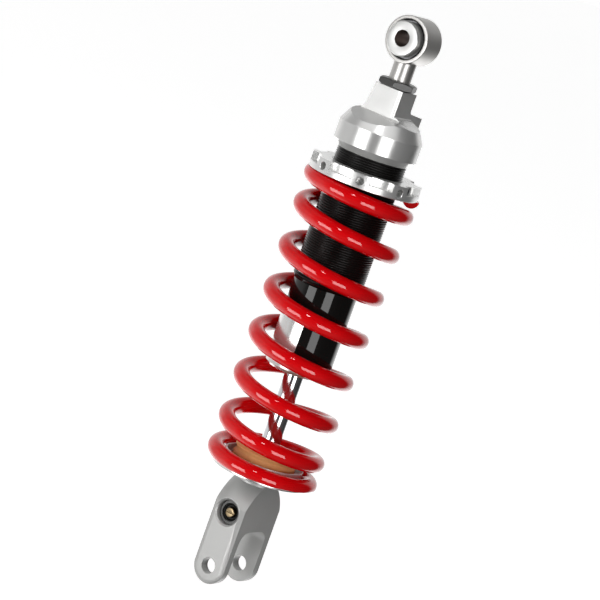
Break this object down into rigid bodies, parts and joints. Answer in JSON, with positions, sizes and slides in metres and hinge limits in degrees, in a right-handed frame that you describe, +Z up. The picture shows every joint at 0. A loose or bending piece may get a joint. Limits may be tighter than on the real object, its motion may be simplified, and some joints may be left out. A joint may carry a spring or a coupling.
{
  "type": "rear shock absorber",
  "caption": "Coil-over motorcycle monoshock with a bearing eye at the top, a forked clevis below, a castellated preload ring and a rebound screw.",
  "frame": {"origin": "centre of the top eye, where its bolt axis crosses the damper axis", "axes": "+Z up the damper axis towards the eye, +Y along both bolt axes, +X across the clevis"},
  "size_m": [0.0742, 0.0742, 0.3766],
  "materials": {
    "satin_aluminium": "satin, machined",
    "polished_aluminium": "fine turned",
    "bright_steel": "ground",
    "hard_chrome": "polished hard chrome",
    "black_anodised": "semi-gloss black",
    "red_powder_coat": "gloss powder coat",
    "black_rubber": "matt",
    "tan_elastomer": "matt foamed elastomer",
    "bronze": "sintered",
    "brass": "machined"
  },
  "bodies": {
    "damper": {"rod_end_eye": "satin_aluminium", "bearing_race": "bright_steel", "eye_seal_front": "black_rubber", "eye_seal_rear": "black_rubber", "jam_nut": "black_anodised", "top_cap": "satin_aluminium", "gas_plug": "bright_steel", "cap_o_ring": "black_rubber", "body_tube": "black_anodised", "gland_cap": "satin_aluminium", "rod_guide": "satin_aluminium", "rod_bush": "bronze", "rod_seal": "black_rubber", "rod_wiper": "black_rubber", "coil_spring": "red_powder_coat"},
    "gas_separator": {"floating_piston": "satin_aluminium", "floating_piston_ring": "black_rubber"},
    "eye_ball": {"bearing_ball": "bright_steel"},
    "eye_spacers": {"spacer_front": "polished_aluminium", "spacer_rear": "polished_aluminium"},
    "preload_washer": {"thrust_washer": "bright_steel"},
    "preload_nut": {"preload_ring": "satin_aluminium", "ring_lock_screw": "bright_steel"},
    "rod_assembly": {"piston_rod": "hard_chrome", "top_out_bumper": "black_rubber", "rebound_shims": "bright_steel", "piston": "bright_steel", "piston_band": "bronze", "compression_shims": "bright_steel", "piston_nut": "bright_steel", "bump_stop": "tan_elastomer", "lower_spring_seat": "satin_aluminium", "clevis": "satin_aluminium", "adjuster_circlip": "black_anodised"},
    "rebound_adjuster": {"adjuster_drum": "black_anodised", "adjuster_screw": "brass"},
    "metering_needle": {"rebound_needle": "bright_steel"}
  },
  "joints": [
    {"name": "rod_travel", "type": "slide", "parent": "damper", "child": "rod_assembly", "axis": [0, 0, 1], "range_m": [0, 0.049], "stiffness_N_per_m": 70000, "springref_m": -0.01, "deforming": ["coil_spring"]},
    {"name": "gas_piston_travel", "type": "slide", "parent": "damper", "child": "gas_separator", "axis": [0, 0, 1], "range_m": [0, 0.0056]},
    {"name": "eye_tilt", "type": "hinge", "parent": "damper", "child": "eye_ball", "pos_m": [0, 0, 0], "axis": [1, 0, 0], "range_deg": [-3, 3]},
    {"name": "eye_turn", "type": "hinge", "parent": "eye_ball", "child": "eye_spacers", "pos_m": [0, 0, 0], "axis": [0, 1, 0], "continuous": true},
    {"name": "preload_travel", "type": "slide", "parent": "damper", "child": "preload_washer", "axis": [0, 0, 1], "range_m": [-0.012, 0.008]},
    {"name": "preload_turn", "type": "hinge", "parent": "preload_washer", "child": "preload_nut", "pos_m": [0, 0, -0.087], "axis": [0, 0, 1], "range_deg": [-2880, 1920]},
    {"name": "rebound_turn", "type": "hinge", "parent": "rod_assembly", "child": "rebound_adjuster", "pos_m": [0, 0, -0.3138], "axis": [0, 1, 0], "range_deg": [-540, 540]},
    {"name": "needle_travel", "type": "slide", "parent": "rod_assembly", "child": "metering_needle", "axis": [0, 0, 1], "range_m": [-0.0015, 0.0015]}
  ],
  "couplings": [
    {"joint": "gas_piston_travel", "follows": "rod_travel", "ratio": 0.11413},
    {"joint": "preload_travel", "follows": "preload_turn", "m_per_rad": 0.00023873},
    {"joint": "needle_travel", "follows": "rebound_turn", "m_per_rad": 0.00015915}
  ]
}
